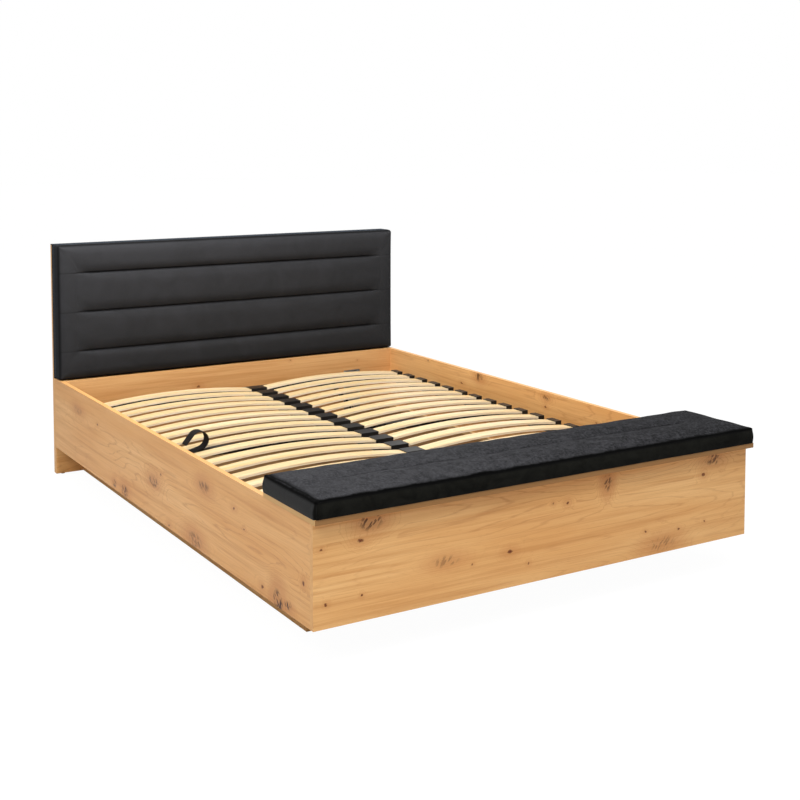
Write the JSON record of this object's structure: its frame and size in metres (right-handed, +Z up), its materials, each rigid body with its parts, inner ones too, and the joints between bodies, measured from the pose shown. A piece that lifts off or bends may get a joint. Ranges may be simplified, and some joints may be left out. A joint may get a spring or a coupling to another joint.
{
  "type": "storage bed",
  "caption": "Storage bed in oak decor with a padded headboard, a side-lifting sprung slat frame on gas springs over a box, and a padded lift-lid bench at the foot.",
  "frame": {"origin": "on the floor, under the middle of the whole outline", "axes": "+Z up, +X to the right of someone who stands at the foot and faces the headboard, +Y towards the headboard"},
  "size_m": [1.66, 2.456, 1],
  "materials": {
    "oak_decor": "satin oak-grain decor with knots",
    "raw_board": "plain board",
    "upholstery": "short-pile velvet",
    "slat_wood": "lacquered birch plywood",
    "black_plastic": "moulded, satin",
    "black_steel": "powder coat",
    "zinc_steel": "zinc plated",
    "polished_rod": "hard chrome",
    "webbing": "woven webbing",
    "felt": "pressed felt",
    "rubber_pad": "matt"
  },
  "bodies": {
    "bed_box": {"headboard_panel": "oak_decor", "pad_board": "upholstery", "headboard_pad": "upholstery", "joining_plates": "zinc_steel", "joining_screws": "zinc_steel", "head_cross_panel": "oak_decor", "head_strips": "raw_board", "side_panel_left": "oak_decor", "side_panel_right": "oak_decor", "foot_panel": "oak_decor", "bench_partition": "oak_decor", "partition_strips": "raw_board", "floor_panel_left": "raw_board", "floor_panel_right": "raw_board", "floor_strips": "raw_board", "plinth_front": "oak_decor", "plinth_left": "oak_decor", "plinth_right": "oak_decor", "plinth_centre": "oak_decor", "glides": "black_plastic", "corner_brackets": "zinc_steel", "bracket_screws": "zinc_steel", "lid_bumpers": "felt", "lift_plate_head": "zinc_steel", "lift_plate_foot": "zinc_steel", "lift_plate_screws": "zinc_steel", "plate_stud_clips": "black_steel", "frame_rests": "zinc_steel", "rest_screws": "zinc_steel", "rest_pads": "rubber_pad", "hinge_leaves_fixed": "zinc_steel", "hinge_pins": "zinc_steel", "hinge_screws_fixed": "zinc_steel"},
    "bench_lid": {"seat_board": "oak_decor", "seat_cushion": "upholstery", "hinge_leaves_lid": "zinc_steel", "hinge_screws_lid": "zinc_steel"},
    "lifting_frame": {"rail_left": "black_steel", "rail_right": "black_steel", "rail_head": "black_steel", "rail_foot": "black_steel", "centre_beam": "black_steel", "cross_tubes": "black_steel", "tube_caps": "black_plastic", "slats_left": "slat_wood", "slats_right": "slat_wood", "end_holders_left": "black_plastic", "end_holders_right": "black_plastic", "centre_holders": "black_plastic", "lift_arm_head": "black_steel", "lift_arm_foot": "black_steel", "arm_stud_clips": "black_steel", "pull_strap": "webbing", "strap_plate": "zinc_steel"},
    "cylinder_head": {"gas_cylinder_head": "black_steel"},
    "rod_head": {"gas_rod_head": "polished_rod"},
    "cylinder_foot": {"gas_cylinder_foot": "black_steel"},
    "rod_foot": {"gas_rod_foot": "polished_rod"}
  },
  "joints": [
    {"name": "frame_lift", "type": "hinge", "parent": "bed_box", "child": "lifting_frame", "pos_m": [0.6, 0.104, 0.307], "axis": [0, 1, 0], "range_deg": [0, 55]},
    {"name": "lid_lift", "type": "hinge", "parent": "bed_box", "child": "bench_lid", "pos_m": [0, -0.89975, 0.43575], "axis": [-1, 0, 0], "range_deg": [0, 70]},
    {"name": "cylinder_turn_head", "type": "hinge", "parent": "bed_box", "child": "cylinder_head", "pos_m": [0.57395, 1.088, 0.15928], "axis": [0, 1, 0], "range_deg": [0, 27.5]},
    {"name": "rod_turn_head", "type": "hinge", "parent": "lifting_frame", "child": "rod_head", "pos_m": [0.45, 1.088, 0.307], "axis": [0, 1, 0], "range_deg": [-27.5, 0]},
    {"name": "cylinder_turn_foot", "type": "hinge", "parent": "bed_box", "child": "cylinder_foot", "pos_m": [0.57395, -0.88, 0.15928], "axis": [0, 1, 0], "range_deg": [0, 27.5]},
    {"name": "rod_turn_foot", "type": "hinge", "parent": "lifting_frame", "child": "rod_foot", "pos_m": [0.45, -0.88, 0.307], "axis": [0, 1, 0], "range_deg": [-27.5, 0]}
  ],
  "couplings": [
    {"joint": "cylinder_turn_head", "follows": "frame_lift", "ratio": 0.5},
    {"joint": "rod_turn_head", "follows": "frame_lift", "ratio": -0.5},
    {"joint": "cylinder_turn_foot", "follows": "frame_lift", "ratio": 0.5},
    {"joint": "rod_turn_foot", "follows": "frame_lift", "ratio": -0.5}
  ]
}
